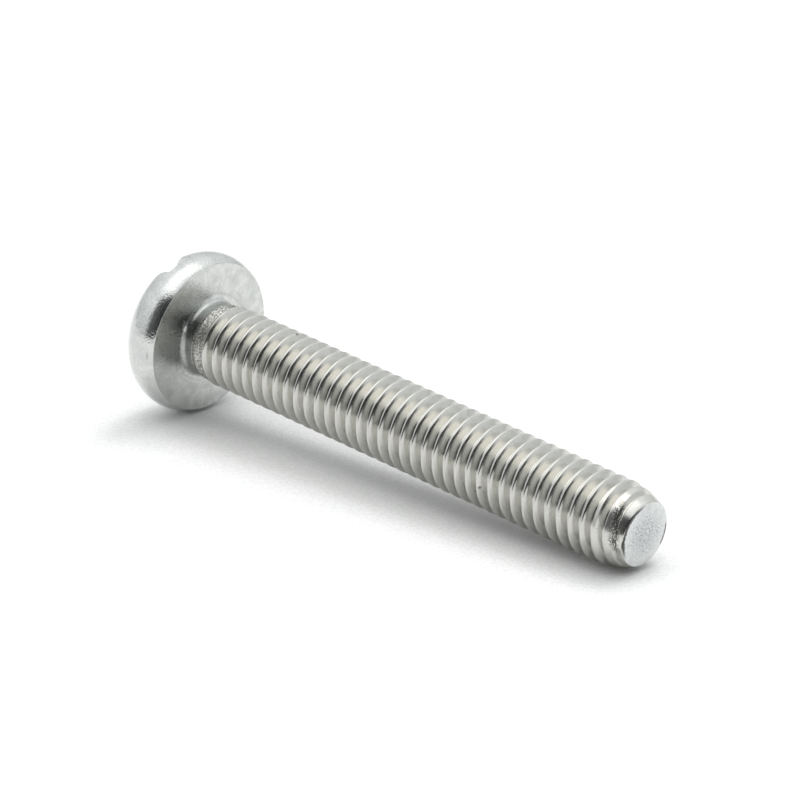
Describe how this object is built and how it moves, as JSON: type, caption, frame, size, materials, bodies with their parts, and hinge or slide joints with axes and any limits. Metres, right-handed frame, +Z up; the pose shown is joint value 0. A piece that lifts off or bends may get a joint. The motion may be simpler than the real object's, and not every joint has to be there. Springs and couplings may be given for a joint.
{
  "type": "machine screw",
  "caption": "Slotted pan head machine screw with a right-hand metric thread cut short of the head, lying on its head rim and the last crest of its thread.",
  "frame": {"origin": "middle of the bearing face under the head, on the screw's axis", "axes": "+Z up; +X along the surface towards the point, which the shank follows while it dips by 4.4 degrees, because the screw lies on the rim of its head and on the last full crest of its thread"},
  "size_m": [0.0441, 0.0118, 0.0118],
  "materials": {
    "zinc_plated_steel": "satin"
  },
  "bodies": {
    "root": {"machine_screw": "zinc_plated_steel"}
  },
  "joints": []
}
